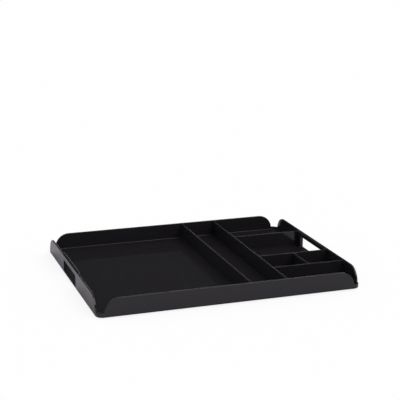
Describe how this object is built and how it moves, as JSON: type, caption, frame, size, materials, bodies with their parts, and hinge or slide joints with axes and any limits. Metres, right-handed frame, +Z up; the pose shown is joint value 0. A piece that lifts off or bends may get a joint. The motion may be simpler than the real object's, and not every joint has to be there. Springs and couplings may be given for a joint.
{
  "type": "coffee station organizer",
  "caption": "Low glossy black tray with open rounded corners, hand holds and upright dividers, for a drinks machine and its supplies.",
  "frame": {"origin": "middle of the tray in plan, at the level the feet stand on", "axes": "+X to the right, +Y to the back, +Z up, seen by someone who stands in front of it"},
  "size_m": [0.453, 0.36, 0.033],
  "materials": {
    "tray_plastic": "high gloss black with fine scuffs",
    "divider_plastic": "high gloss black with fine scuffs",
    "foot_rubber": "matt black rubber"
  },
  "bodies": {
    "root": {"tray": "tray_plastic", "left_rail": "divider_plastic", "right_rail": "divider_plastic", "slot_panel": "divider_plastic", "bin_back_panel": "divider_plastic", "bin_divider": "divider_plastic", "cup_bay_panel": "divider_plastic", "foot_front_left": "foot_rubber", "foot_front_right": "foot_rubber", "foot_back_left": "foot_rubber", "foot_back_right": "foot_rubber"}
  },
  "joints": []
}
